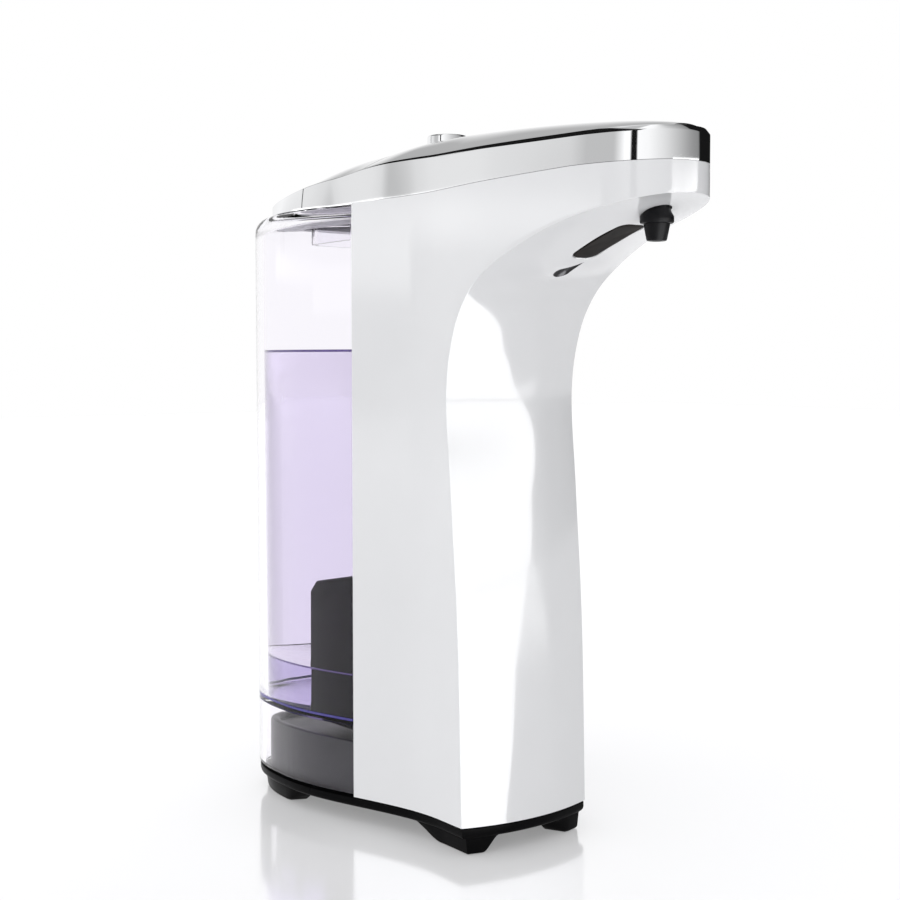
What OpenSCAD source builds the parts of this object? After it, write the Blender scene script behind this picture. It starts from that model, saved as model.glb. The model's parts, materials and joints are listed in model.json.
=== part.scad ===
// Counter-top touch-free soap dispenser with a clear soap tank at the back.
// Frame: +Z up from the counter, front towards -Y, X across. Origin: centre of
// the bounding box, on the counter. Millimetres.

/* [Overall] */
// Widest width, across the tank
total_w = 75.6; // [75:0.1:76]
// Depth from the nose to the back of the tank
total_d = 172; // [171.5:0.1:172]
// Height of the chrome top's side edge at the front
trim_top_z = 194.8; // [194.6:0.1:195]

/* [Body] */
// Half the width of the column
column_half_w = 23; // [22.8:0.1:23.2]
// Height of the white body's lower edge
body_bottom_z = 8.2; // [8:0.1:8.4]
// Wall thickness of the white body
body_wall = 2.2; // [2:0.1:2.4]
// Y of the vertical seam between the body and the tank
seam_y = 21.2; // [21:0.1:21.4]

/* [Tank] */
// Wall thickness of the clear tank
tank_wall = 2.4; // [2.2:0.1:2.6]
// Height of the tank's inner floor
tank_floor_z = 30.4; // [30.2:0.1:30.6]
// Height at which the tank's shoulder starts
shoulder_z = 178; // [177.5:0.5:178.5]
// How far the chrome top stands in from the tank at the back
trim_inset = 5; // [4.8:0.1:5.2]

/* [Nozzle and sensor] */
// Y of the nozzle's axis
nozzle_y = -73; // [-73.5:0.5:-72.5]
// Height of the nozzle's tip
nozzle_tip_z = 167.7; // [167.5:0.1:168]

/* [Button] */
// Diameter of the button on top
button_d = 12; // [11.8:0.1:12.2]
// Y of the button's centre
button_y = 16.3; // [16:0.1:16.6]

/* [Pump] */
// Teeth on the motor pinion
pinion_teeth = 10; // [10:1:10]
// Teeth on the reduction gear
reduction_teeth = 42; // [42:1:42]
// Teeth on each of the two pump gears
pump_teeth = 11; // [11:1:11]
// Module of the reduction gears
drive_module = 0.7; // [0.7:0.1:0.7]
// Module of the pump gears
pump_module = 0.9; // [0.9:0.1:0.9]

/* [Hidden] */
$fn = 48;
e = 0.01;               // overshoot of a cut past a face
big = 300;              // longer than the whole object

white = [0.93, 0.93, 0.94];
black = [0.05, 0.05, 0.055];
chrome = [0.78, 0.79, 0.8];
clear = [0.85, 0.83, 0.9, 0.35];
smoke = [0.31, 0.3, 0.34];
natural = [0.86, 0.86, 0.84];
steel = [0.62, 0.63, 0.65];
board_green = [0.08, 0.3, 0.18];
rubber_grey = [0.2, 0.2, 0.21];

// ---- plan outline -------------------------------------------------------
nose_y = -total_d / 2;
rear_y = total_d / 2;
nose_c = -60;                       // where the nose's round end starts
rear_c = 50.5;                      // where the tank is widest
rear_half_w = total_w / 2;
flare_y = -11.5;                    // where the column starts to widen

function smooth(t) = let (s = max(0, min(1, t))) s * s * (3 - 2 * s);
function superarc(u, n) = pow(max(0, 1 - pow(abs(u), n)), 1 / n);
function softmin(a, b, k) = (a + b - sqrt((a - b) * (a - b) + k * k)) / 2;
function taper(y) = 13.9 + 0.16 * (y - nose_y);
function nose_end(y) = y < nose_c ? superarc((nose_c - y) / (nose_c - nose_y), 2.5) : 1;
function rear_end(y, d) = y > rear_c ? superarc((y - rear_c) / (rear_y - d - rear_c), 3) : 1;
function flare(y) = (rear_half_w - column_half_w) * smooth((y - flare_y) / (rear_c - flare_y));
// Half-width at y of the outline moved in by d
function half_w(y, d = 0) =
    y > rear_c ? (rear_half_w - d) * rear_end(y, d)
    : y < -35 ? taper(y) * superarc(min(1, max(0, (nose_c - y) / (nose_c - nose_y - d))), 2.5) - d
    : softmin(taper(y), column_half_w, 0.5) + flare(y) - d;
// Stations along Y, closer together at the round ends
function stations(y0, y1, n) = [for (i = [0 : n]) y0 + (y1 - y0) * (1 - cos(180 * i / n)) / 2];
function clip0(v) = max(0, v);
// Closed plan outline between y0 and y1, moved in by d
function plan(y0, y1, d = 0, n = 28) =
    let (ys = stations(max(y0, nose_y + d), min(y1, rear_y - d), n))
    concat([for (y = ys) [-clip0(half_w(y, d)), y]],
           [for (i = [n : -1 : 0]) if (half_w(ys[i], d) > 0.01) [clip0(half_w(ys[i], d)), ys[i]]]);
module plan_slab(y0, y1, z0, z1, d = 0, n = 28)
    translate([0, 0, z0]) linear_extrude(z1 - z0) polygon(plan(y0, y1, d, n));

// ---- front scoop: a surface of revolution about an upright axis ---------
scoop_axis_y = 42;
scoop_knots = [[67.4, 8.2], [65.8, 60], [62.9, 100], [60.9, 128], [64.1, 146],
    [71.2, 157.5], [82.2, 165.2], [97.4, 171.6], [113, 175.6], [128.4, 178.6]];
function spline(p0, p1, p2, p3, t) =
    0.5 * (2 * p1 + (p2 - p0) * t + (2 * p0 - 5 * p1 + 4 * p2 - p3) * t * t
           + (3 * p1 - p0 - 3 * p2 + p3) * t * t * t);
function knot(k, i) = i < 0 ? 2 * k[0] - k[1] : i >= len(k) ? 2 * k[len(k) - 1] - k[len(k) - 2] : k[i];
function through(k, steps) = concat(
    [for (i = [0 : len(k) - 2]) for (s = [0 : steps - 1])
        spline(knot(k, i - 1), knot(k, i), knot(k, i + 1), knot(k, i + 2), s / steps)],
    [k[len(k) - 1]]);
scoop_curve = through(scoop_knots, 3);
// The round solid behind the scoop, moved in by d
module scoop_core(d, top = 240)
    translate([0, scoop_axis_y, 0])
        rotate_extrude($fn = 96)
            polygon(concat([[0, -20]], [[scoop_curve[0][0] - d, -20]],
                [for (p = scoop_curve) [p[0] - d * scoop_side(p), p[1] + d * scoop_up(p)]],
                [[scoop_curve[len(scoop_curve) - 1][0] + 20, 178.6 + d], [150, top], [0, top]]));
// Share of an inward move that goes level and up at a height on the scoop
function scoop_side(p) = 1 - smooth((p[1] - 140) / 25);
function scoop_up(p) = smooth((p[1] - 140) / 25);

// ---- top edges ----------------------------------------------------------
// Lower edge of the chrome top: level over the tank, rising to the nose
trim_low_z = 183.4;
trim_nose_low_z = 186.3;
function trim_low(y) = trim_low_z + (trim_nose_low_z - trim_low_z) * max(0, min(1, (22 - y) / 82));
// Upper edge of the chrome top's side, falling towards the back
function trim_high(y) = trim_top_z - 8.8 * smooth((y + 4) / 96) - 0.9 * smooth((y - 50) / 32);
// Height of the crown above that edge on the middle plane
trim_rear_y = rear_y - trim_inset;
function trim_half(y) =
    let (d = trim_inset * smooth((y - 8) / 26))
    y > rear_c - 4 ? (half_w(rear_c - 4) - trim_inset) * superarc((y - rear_c + 4) / (trim_rear_y - rear_c + 4), 3.4)
    : half_w(y) - d;
function crown(y) = (8.7 + 1.8 * smooth((y - 22) / 25))
    * superarc((y - 22) / (y < 22 ? 22 - nose_y : trim_rear_y - 22), y < 22 ? 1.55 : 2.1);
function trim_plan(y0, y1, d = 0, n = 30) =
    let (ys = stations(y0 + d, y1 - d, n))
    concat([for (y = ys) [-clip0(trim_half(y) - d), y]],
           [for (i = [n : -1 : 0]) if (trim_half(ys[i]) - d > 0.01) [trim_half(ys[i]) - d, ys[i]]]);
// Slab between two heights that follow Y, for cutting along the chrome's edges
module between(low, high, y0, y1, n = 20)
    rotate([90, 0, 90]) translate([0, 0, -big / 2]) linear_extrude(big)
        polygon(concat([for (i = [0 : n]) let (y = y0 + (y1 - y0) * i / n) [y, low(y)]],
                       [for (i = [n : -1 : 0]) let (y = y0 + (y1 - y0) * i / n) [y, high(y)]]));

// ---- small helpers ------------------------------------------------------
module at(x, y, z) translate([x, y, z]) children();
module rod_y(r, y0, y1, x = 0, z = 0) at(x, y0, z) rotate([-90, 0, 0]) cylinder(r = r, h = y1 - y0);
module rod_x(r, x0, x1, y = 0, z = 0) at(x0, y, z) rotate([0, 90, 0]) cylinder(r = r, h = x1 - x0);
module rod_z(r, z0, z1, x = 0, y = 0) at(x, y, z0) cylinder(r = r, h = z1 - z0);
module block(x0, x1, y0, y1, z0, z1) at(x0, y0, z0) cube([x1 - x0, y1 - y0, z1 - z0]);
module mirrored() {
    children();
    mirror([1, 0, 0]) children();
}
// Block with upright rounded corners of radius r
module round_block(x0, x1, y0, y1, z0, z1, r)
    at(0, 0, z0) linear_extrude(z1 - z0) round_rect(x0, x1, y0, y1, r);
module round_rect(x0, x1, y0, y1, r) {
    translate([x0 + r, y0]) square([x1 - x0 - 2 * r, y1 - y0]);
    translate([x0, y0 + r]) square([x1 - x0, y1 - y0 - 2 * r]);
    for (x = [x0 + r, x1 - r]) for (y = [y0 + r, y1 - r]) translate([x, y]) circle(r);
}
// Countersunk screw along +Z, head down at z0
module screw(x, y, z0, length, r = 1.2)
    at(x, y, z0) {
        difference() {
            cylinder(r = 2 * r, h = 1.2);
            at(-1.6 * r, -0.3, -e) cube([3.2 * r, 0.6, 0.6]);
        }
        at(0, 0, 1.2) cylinder(r = r, h = length - 1.2);
    }

// ---- chrome crown, shared by the top cover and the refill lid ------------
crown_gap = 0.3;
crown_t = 1.6;
crown_split_y = 25.2;        // where the lid meets the cover
trim_wall = 1.8;
function crown_half(y) = max(0.5, trim_half(y) - trim_wall - crown_gap);
function crown_z(x, y) = trim_high(y) - 0.3 + crown(y) * (1 - pow(min(1, abs(x) / crown_half(y)), 2));
// Curved panel between two stations along Y, crown_t thick
module crown_panel(y0, y1, ny, nx) {
    ys = [for (i = [0 : ny]) y0 + (y1 - y0) * i / ny];
    us = [for (j = [0 : nx]) -cos(180 * j / nx)];
    row = nx + 1;
    half = row * (ny + 1);
    points = concat(
        [for (y = ys) for (u = us) [u * crown_half(y), y, crown_z(u * crown_half(y), y)]],
        [for (y = ys) for (u = us) [u * crown_half(y), y, crown_z(u * crown_half(y), y) - crown_t]]);
    top = [for (i = [0 : ny - 1]) for (j = [0 : nx - 1])
        let (a = i * row + j) [a, a + row, a + row + 1, a + 1]];
    faces = concat(top,
        [for (f = top) [f[3] + half, f[2] + half, f[1] + half, f[0] + half]],
        [for (j = [0 : nx - 1]) [j, j + 1, j + 1 + half, j + half]],
        [for (j = [0 : nx - 1]) let (a = ny * row + j) [a + 1, a, a + half, a + 1 + half]],
        [for (i = [0 : ny - 1]) let (a = i * row) [a + row, a, a + half, a + row + half]],
        [for (i = [0 : ny - 1]) let (a = i * row + nx) [a, a + row, a + row + half, a + half]]);
    polyhedron(points, faces, convexity = 4);
}

// ---- battery pack dimensions --------------------------------------------
cell_r = 7.2;
cell_len = 50.5;
cell_pitch = 15;
cell_y = -2;
cell_z0 = 11.6;
box_half = 2 * cell_r + 2.6;
box_top_z = 66;

// ---- pump dimensions -----------------------------------------------------
tower_half_w = 21;
tower_y1 = 53;
tower_z0 = 24.6;
tower_z1 = 69;
bulkhead_y0 = seam_y - 1.8;
drive_x = -pump_module * pump_teeth / 2;
drive_z = 38;
idler_x = -drive_x;
motor_z = drive_z + drive_module * (pinion_teeth + reduction_teeth) / 2;
gear_y0 = 16.2;
gear_y1 = 19.2;
pump_y0 = 26.4;
pump_gear_y0 = 30.2;
pump_gear_y1 = 38.2;
shaft_r = 1.5;
running_gap = 0.05;

// Involute gear outline: teeth, module, flank angle, side clearance
function inv(a) = tan(a) - a * PI / 180;
function gear_points(n, m, pa, slack, phase = 0) =
    let (r = n * m / 2, rb = r * cos(pa), ra = r + 0.8 * m, rf = r - 1.05 * m,
         half_tooth = (90 / n) - slack / (2 * r) * 180 / PI + inv(pa) * 180 / PI)
    [for (i = [0 : n - 1]) for (side = [-1, 1])
        for (s = side < 0 ? [0 : 4] : [4 : -1 : 0])
            let (rr = s == 0 ? rf : max(rb, rf) + (ra - max(rb, rf)) * (s - 1) / 3,
                 a = rr <= rb ? 0 : acos(rb / rr),
                 ang = i * 360 / n + phase + side * (half_tooth - inv(a) * 180 / PI))
            [rr * cos(ang), rr * sin(ang)]];
// Gear whose axis runs along Y at (x, z)
module gear_y(n, m, y0, y1, x, z, bore_r, phase = 0, slack = 0.14)
    at(x, y1, z) rotate([90, 0, 0]) linear_extrude(y1 - y0) difference() {
        polygon(gear_points(n, m, 25, slack, phase));
        if (bore_r > 0) circle(bore_r);
    }

// ========================= sub-parts =====================================
module body_shell() color(white) difference() {
    intersection() {
        plan_slab(nose_y, seam_y, body_bottom_z, 200);
        scoop_core(0);
        between(function (y) 0, function (y) trim_low(y), -100, 40);
    }
    // hollow, open at the bottom, the top and the back
    intersection() {
        plan_slab(nose_y + body_wall, seam_y + 1, 0, 200, body_wall);
        scoop_core(body_wall);
    }
    // nozzle, sensor window and indicator openings
    rod_z(3.8, 160, 185, 0, nozzle_y);
    sensor_recess(0.2, 5);
    indicator_hole(2.7);
}

module sensor_place() at(0, sensor_y, sensor_z) rotate([sensor_tilt, 0, 0]) children();
sensor_y = -53.6;
sensor_z = 170.2;
sensor_tilt = -17;
sensor_len = 25;
sensor_w = 9;
module sensor_recess(grow, depth)
    sensor_place() at(0, 0, -depth) linear_extrude(2 * depth)
        round_rect(-sensor_w / 2 - grow, sensor_w / 2 + grow,
            -sensor_len / 2 - grow, sensor_len / 2 + grow, 3);
module indicator_place() at(0, -38.6, 164) rotate([-34, 0, 0]) children();
module indicator_hole(r) indicator_place() at(0, 0, -6) cylinder(r = r, h = 12);

board_z = 176;               // underside of the control board
module bulkhead() color(black) difference() {
    intersection() {
        plan_slab(nose_y, 100, 0, 200, body_wall + 0.1);
        block(-40, 40, bulkhead_y0, seam_y - 0.3, 9.2, board_z - 0.8);
    }
    block(-tower_half_w + 1.5, tower_half_w - 1.5, 0, 40, tower_z0 - 0.2, tower_z1 - 1.5);
    for (z = [90, 160]) rod_y(1.3, 0, 40, -17, z);
    for (z = [90, 160]) rod_y(1.3, 0, 40, 17, z);
}
module bulkhead_screws() color(steel)
    for (x = [-17, 17]) for (z = [90, 160])
        at(x, bulkhead_y0 - 1.2, z) rotate([-90, 0, 0]) screw(0, 0, 0, 2.8, 1.2);

chassis_screw_y = 69;
// Black base with a rounded lip and four feet at its corners
lip_z = 4.8;
module base_chassis() color(black) difference() {
    union() {
        intersection() {
            plan_slab(nose_y, rear_y, lip_z, body_bottom_z - 0.1, 0.3);
            union() {
                scoop_base(0.3);
                block(-50, 50, 0, 100, 0, 20);
            }
        }
        // locating rib that stands up inside the body and the tank seat
        difference() {
            intersection() {
                plan_slab(nose_y, seam_y - 4, body_bottom_z - 0.1 - e, 10.6, body_wall + 0.4);
                scoop_base(body_wall + 0.8);
            }
            intersection() {
                plan_slab(nose_y, seam_y - 3, 0, 12, body_wall + 2);
                scoop_base(body_wall + 2.4);
            }
        }
        corner_feet();
    }
    // battery opening, with a rebate for the cover
    block(-box_half + 1, box_half - 1, cell_y - box_half + 1, cell_y + box_half - 1, 0, 12);
    round_block(-cover_half - 0.3, cover_half + 0.3, cover_y0 - 0.3, cover_y1 + 0.3, 0, 6.6, 2);
    rod_z(1.2, 0, 12, 0, cover_screw_y);
    for (x = [-26, 26]) rod_z(1.3, 0, 12, x, chassis_screw_y);
    for (x = [-26, 26]) rod_z(2.6, 0, lip_z + 0.1, x, chassis_screw_y);
}
module scoop_base(d)
    at(0, scoop_axis_y, 0) cylinder(r = scoop_knots[0][0] - d, h = 20, $fn = 96);
// Feet that follow the outline at the front corners and the back corners
module corner_feet() intersection() {
    plan_slab(nose_y, rear_y, 1.4, lip_z + e, 1.4);
    union() {
        scoop_base(1.4);
        block(-50, 50, 0, 100, 0, 20);
    }
    mirrored() union() {
        round_block(-30, -11, -30, cover_y0 - 0.4, 0, 10, 1);
        round_block(-30, -cover_half - 0.4, -30, -1, 0, 10, 1);
        round_block(-40, -23, 44, 80, 0, 10, 6);
    }
}
module foot_pads() color(rubber_grey) mirrored() {
    rod_z(1.5, 0, 1.4, -19.8, -16);
    rod_z(1.5, 0, 1.4, -19.8, -5);
    rod_z(4, 0, 1.4, -29, 60);
}

module battery_box() color(black) difference() {
    round_block(-box_half, box_half, cell_y - box_half, cell_y + box_half, 8.2, box_top_z, 4);
    for (x = [-1, 1]) for (y = [-1, 1])
        rod_z(cell_r + 0.25, 0, box_top_z - 1.8, x * cell_pitch / 2, cell_y + y * cell_pitch / 2);
    for (x = [-1, 1]) for (z = [8, box_top_z - 4])
        block(x * cell_pitch / 2 - 4.3, x * cell_pitch / 2 + 4.3, cell_y - 12.3, cell_y + 12.3, z, z + 2.2);
}
module batteries() color("goldenrod") for (x = [-1, 1]) for (y = [-1, 1])
    at(x * cell_pitch / 2, cell_y + y * cell_pitch / 2, cell_z0) {
        cylinder(r = cell_r, h = cell_len - 1);
        at(0, 0, x * y > 0 ? cell_len - 1 : -1) cylinder(r = 2.6, h = 1);
    }
module battery_contacts() color(steel) for (x = [-1, 1]) {
    round_block(x * cell_pitch / 2 - 4, x * cell_pitch / 2 + 4, cell_y - 12, cell_y + 12,
        box_top_z - 3.6, box_top_z - 2.9, 1);
    round_block(-4 + x * cell_pitch / 2, 4 + x * cell_pitch / 2, cell_y - 12, cell_y + 12,
        8.9, 9.6, 1);
}
cover_half = box_half + 0.6;
cover_y0 = cell_y - box_half - 0.6;
cover_y1 = 21;
cover_screw_y = 18;
module battery_gasket() color(rubber_grey) difference() {
    round_block(-box_half, box_half, cell_y - box_half, cell_y + box_half, 5.8, 6.6, 2);
    round_block(-box_half + 1, box_half - 1, cell_y - box_half + 1, cell_y + box_half - 1, 5, 8, 1.4);
}
module battery_cover() color(black) difference() {
    round_block(-cover_half, cover_half, cover_y0, cover_y1, 3.4, 5.8, 1.8);
    rod_z(1.3, 0, 8, 0, cover_screw_y);
    rod_z(2.5, 0, 4.8, 0, cover_screw_y);
}
module battery_cover_screw() color(steel) screw(0, cover_screw_y, 3.5, 4.8, 1.2);

// Dark plinth that the tank stands on, seen through the tank's skirt
module tank_seat() color(smoke) difference() {
    plan_slab(seam_y, rear_y, body_bottom_z, 24, tank_wall + 3, 22);
    at(0, 0, body_bottom_z - 1) linear_extrude(13) polygon(plan(seam_y + 2.4, rear_y - 8, 8, 20));
    for (x = [-26, 26]) rod_z(1.3, 0, 15, x, chassis_screw_y);
}

module tank() color(clear) difference() {
    union() {
        plan_slab(seam_y + 0.2, rear_y, body_bottom_z + 0.6, shoulder_z);
        for (s = shoulder_steps)
            plan_slab(seam_y + 0.2, rear_y, shoulder_z - e + s[0], shoulder_z + s[1], s[2]);
    }
    // skirt round the plinth
    plan_slab(seam_y - 1, rear_y, 0, tank_floor_z - 3, tank_wall);
    // soap room, kept clear of the pump tower's pocket
    difference() {
        plan_slab(seam_y + 2.4, rear_y, tank_floor_z, 176, tank_wall);
        block(-pocket_half, pocket_half, 0, tower_y1 + 2.2, 0, tower_z1 + 2.2);
    }
    block(-tower_half_w - 0.2, tower_half_w + 0.2, 0, tower_y1 + 0.2, 0, tower_z1 + 0.2);
    round_block(-neck_half, neck_half, neck_y0, neck_y1, 170, 200, 6);
    rod_y(2.3, tower_y1 - 1, tower_y1 + 5, 0, inlet_z);
}
shoulder_steps = [[0, 1.7, 0.4], [1.7, 3.2, 1.5], [3.2, 4.3, 2.8], [4.3, 5, 4.2]];
pocket_half = tower_half_w + 2.2;
inlet_z = drive_z;
neck_half = 18;
neck_y0 = 34;
neck_y1 = 70;

module fill_collar() color(clear) difference() {
    union() {
        round_block(-neck_half - 2, neck_half + 2, neck_y0 - 2, neck_y1 + 2, 183, 185.6, 8);
        round_block(-neck_half + 0.1, neck_half - 0.1, neck_y0 + 0.1, neck_y1 - 0.1, 175, 183.2, 6);
    }
    round_block(-neck_half + 1.8, neck_half - 1.8, neck_y0 + 1.8, neck_y1 - 1.8, 170, 200, 5);
}

module top_trim() color(chrome) {
    difference() {
        intersection() {
            at(0, 0, 180) linear_extrude(30) polygon(trim_plan(nose_y, trim_rear_y));
            between(function (y) trim_low(y) + 0.1, function (y) trim_high(y), -100, 100, 40);
        }
        at(0, 0, 170) linear_extrude(50) polygon(trim_plan(nose_y, trim_rear_y, trim_wall));
        hinge_slot(hinge_half_w + 0.3);
    }
    // ears that hold the hinge pin
    difference() {
        mirrored() block(hinge_half_w + 0.3, hinge_half_w + 4.5, hinge_y - 2.1, trim_rear_y - 1,
            184, hinge_z + 1.2);
        rod_x(hinge_pin_r, -30, 30, hinge_y, hinge_z);
    }
}
hinge_y = trim_rear_y - 2.6;
hinge_z = 187.4;
hinge_half_w = 9;
hinge_pin_r = 0.9;
hinge_r = 2.1;
module hinge_slot(half)
    block(-half, half, hinge_y - 6, hinge_y + 10, 184.4, 200);

module top_cover() color(chrome) difference() {
    crown_panel(nose_y + 2.4, crown_split_y - 0.15, 28, 12);
    rod_z(button_d / 2 + 0.35, 180, 220, 0, button_y);
}
module refill_lid() color(chrome) {
    crown_panel(crown_split_y + 0.15, hinge_y - 2.6, 20, 12);
    // hinge arm and barrel
    difference() {
        union() {
            rod_x(hinge_r, -hinge_half_w, hinge_half_w, hinge_y, hinge_z);
            block(-hinge_half_w, hinge_half_w, hinge_y - 6, hinge_y, hinge_z - 0.6, hinge_z + 1.4);
        }
        rod_x(hinge_pin_r + running_gap, -30, 30, hinge_y, hinge_z);
    }
}
module lid_liner() color(natural) {
    round_block(-neck_half - 1, neck_half + 1, neck_y0 - 1, neck_y1 - 2, 187.2, 189, 7);
    for (x = [-9, 9]) for (y = [42, 60])
        rod_z(2, 188.9, crown_z(11, y) - crown_t - 0.1, x, y);
}
module lid_gasket() color(rubber_grey) difference() {
    round_block(-neck_half - 1, neck_half + 1, neck_y0 - 1, neck_y1 - 2, 185.9, 187.2, 7);
    round_block(-neck_half + 4, neck_half - 4, neck_y0 + 4, neck_y1 - 7, 180, 190, 4);
}
module lid_hinge_pin() color(steel)
    rod_x(hinge_pin_r, -hinge_half_w - 4.5, hinge_half_w + 4.5, hinge_y, hinge_z);

button_top_z = 204.6;
module control_button() color(chrome) {
    rod_z(button_d / 2, crown_z(0, button_y) - 1.2, button_top_z, 0, button_y);
    rod_z(button_d / 2 + 1, crown_z(0, button_y) - 4.6, crown_z(0, button_y) - 3.4, 0, button_y);
    rod_z(3.2, crown_z(0, button_y) - 3.6, crown_z(0, button_y) - 1, 0, button_y);
    rod_z(1.6, board_z + 7.4, crown_z(0, button_y) - 4.4, 0, button_y);
}
module button_spring() color(steel) difference() {
    rod_z(4.2, board_z + 1.7, crown_z(0, button_y) - 4.7, 0, button_y);
    rod_z(3.4, 0, 250, 0, button_y);
}
module button_switch() color(black) {
    round_block(-2.2, 2.2, button_y - 2.2, button_y + 2.2, board_z + 1.6, board_z + 5, 0.6);
    rod_z(1.2, board_z + 4.9, board_z + 6, 0, button_y);
}
module control_board() color(board_green) difference() {
    block(-17, 17, -22, 20, board_z, board_z + 1.6);
    for (x = [-13, 13]) for (y = [-18, 8]) rod_z(1.3, 0, 250, x, y);
}
module board_screws() color(steel)
    for (x = [-13, 13]) for (y = [-18, 8])
        at(x, y, board_z + 2.8) mirror([0, 0, 1]) screw(0, 0, 0, 5, 1.2);

module pump_tower() color([0.1, 0.07, 0.12]) difference() {
    union() {
        round_block(-tower_half_w, tower_half_w, seam_y + 6, tower_y1, tower_z0, tower_z1, 5);
        block(-tower_half_w, tower_half_w, seam_y - 0.2, seam_y + 12, tower_z0, tower_z1);
    }
    block(-tower_half_w + 1.8, tower_half_w - 1.8, 0, tower_y1 - 2, tower_z0 + 1.6, tower_z1 - 1.8);
    rod_y(2.3, 40, 60, 0, inlet_z);
}
pump_half = pump_module * (pump_teeth / 2 + 0.8) + 0.12;
module pump_profile(r) {
    for (x = [drive_x, idler_x]) translate([x, 0]) circle(r);
    translate([drive_x, -r]) square([idler_x - drive_x, 2 * r]);
}
module pump_body() color(natural) difference() {
    at(0, pump_gear_y1 + 3, drive_z) rotate([90, 0, 0])
        linear_extrude(pump_gear_y1 + 3 - pump_y0) pump_profile(pump_half + 1.9);
    at(0, pump_gear_y1 + 0.1, drive_z) rotate([90, 0, 0])
        linear_extrude(pump_gear_y1 - pump_gear_y0 + 0.2)
            for (x = [drive_x, idler_x]) translate([x, 0]) circle(pump_half);
    rod_y(shaft_r + running_gap, pump_y0 - 1, pump_gear_y0, drive_x, drive_z);
    rod_y(shaft_r, pump_y0 + 1.4, pump_gear_y0, idler_x, drive_z);
    rod_y(3.2, pump_y0 - 1, pump_y0 + 1.6, drive_x, drive_z);
    // inlet below and outlet above the point of mesh
    rod_y(2.0, pump_gear_y1 - e, 60, 0, inlet_z);
    rod_z(1.6, drive_z + 2, drive_z + 20, 0, 34);
}
module pump_cover_plate() color(natural) difference() {
    at(0, pump_y0, drive_z) rotate([90, 0, 0]) linear_extrude(1.2) pump_profile(pump_half + 1.9);
    rod_y(shaft_r + 0.3, 0, 60, drive_x, drive_z);
    for (s = [-1, 1]) rod_y(0.9, 0, 60, 0, drive_z + 5.4 * s);
}
module pump_cover_screws() color(steel)
    for (s = [-1, 1]) at(0, pump_y0 - 2.4, drive_z + 5.4 * s) rotate([-90, 0, 0]) screw(0, 0, 0, 2.4, 0.85);
module pump_drive_gear() color(steel)
    gear_y(pump_teeth, pump_module, pump_gear_y0 + 0.05, pump_gear_y1 - 0.05, drive_x, drive_z, shaft_r);
module pump_idler_gear() color(steel)
    gear_y(pump_teeth, pump_module, pump_gear_y0 + 0.05, pump_gear_y1 - 0.05, idler_x, drive_z,
        shaft_r + running_gap);
module idler_pin() color(steel) rod_y(shaft_r, pump_y0 + 1.4, pump_gear_y1 + 0.1, idler_x, drive_z);
module drive_shaft() color(steel) rod_y(shaft_r, gear_y0 - 0.8, pump_gear_y1 - 0.05, drive_x, drive_z);
module shaft_seal() color(rubber_grey) difference() {
    rod_y(3.2, pump_y0, pump_y0 + 1.6, drive_x, drive_z);
    rod_y(shaft_r + running_gap, 0, 60, drive_x, drive_z);
}
// Both gears keep a tooth of one in a space of the other, above the drive shaft
module reduction_gear() color(natural) difference() {
    union() {
        gear_y(reduction_teeth, drive_module, gear_y0, gear_y1, drive_x, drive_z, 0,
            90 - 180 / reduction_teeth);
        rod_y(3.4, gear_y0, gear_y1 + 1, drive_x, drive_z);
    }
    rod_y(shaft_r, 0, 60, drive_x, drive_z);
}
motor_r = 8;
module motor_can() color(steel) difference() {
    union() {
        rod_y(motor_r, 25.2, 46, drive_x, motor_z);
        rod_y(3, 23.8, 25.3, drive_x, motor_z);
    }
    rod_y(1 + running_gap, 20, 40, drive_x, motor_z);
}
module motor_shaft() color(steel) rod_y(1, gear_y0, 39.8, drive_x, motor_z);
module motor_pinion() color("gold")
    gear_y(pinion_teeth, drive_module, gear_y0 + 0.2, gear_y1 - 0.2, drive_x, motor_z, 1, -90);
// Black plate between the gears and the pump, carrying the motor
module gear_plate() color(black) difference() {
    block(-tower_half_w + 2.1, tower_half_w - 2.1, 21.2, 23.6, tower_z0 + 1.8, tower_z1 - 4);
    rod_y(shaft_r + 0.3, 0, 60, drive_x, drive_z);
    rod_y(1.6, 0, 60, drive_x, motor_z);
    rod_y(3, 0, 60, 16, 62.3);
}

module inlet_strainer() color(rubber_grey) difference() {
    rod_y(5, tower_y1 + 2.3, tower_y1 + 5.3, 0, inlet_z);
    for (x = [-2.4, 0, 2.4]) for (z = [-2.4, 0, 2.4]) rod_y(0.7, 40, 60.1, x, inlet_z + z, $fn = 16);
}
module inlet_o_ring() color(rubber_grey) difference() {
    rod_y(3.4, pump_gear_y1 + 3, pump_gear_y1 + 4.6, 0, inlet_z);
    rod_y(2.0, 0, 60, 0, inlet_z);
}
// Delivery line: pump outlet, round the motor, up the column and out to the nozzle
tube_r = 2;
tube_low_z = 52;
module outlet_elbow() color(natural) difference() {
    union() {
        rod_z(2.4, drive_z + pump_half + 1.9, tube_low_z, 9.2, 34);
        block(-2.4, 11.6, 31.6, 36.4, drive_z + pump_half + 1.9, drive_z + pump_half + 3.9);
    }
    rod_z(1.4, drive_z + pump_half, tube_low_z - 2, 9.2, 34);
}
function tube_points() = [[9.2, 34, 52.1], [9.2, 34, 54.6], [12, 30.6, 60], [15, 26, 62.2],
    [16, 20, 62.6], [16, 17.4, 66], [16, 16.6, 73], [16, 16, 100], [15, 15.6, 150],
    [13.4, 9, 160], [12.2, -6, 167], [10, -26, 172], [7, -42, 179], [4, -56, 183.5],
    [1.6, -66, 185.6], [0.5, -70.5, 185.8], [0, -73, 184.4], [0, -73, 181.1]];
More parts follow.
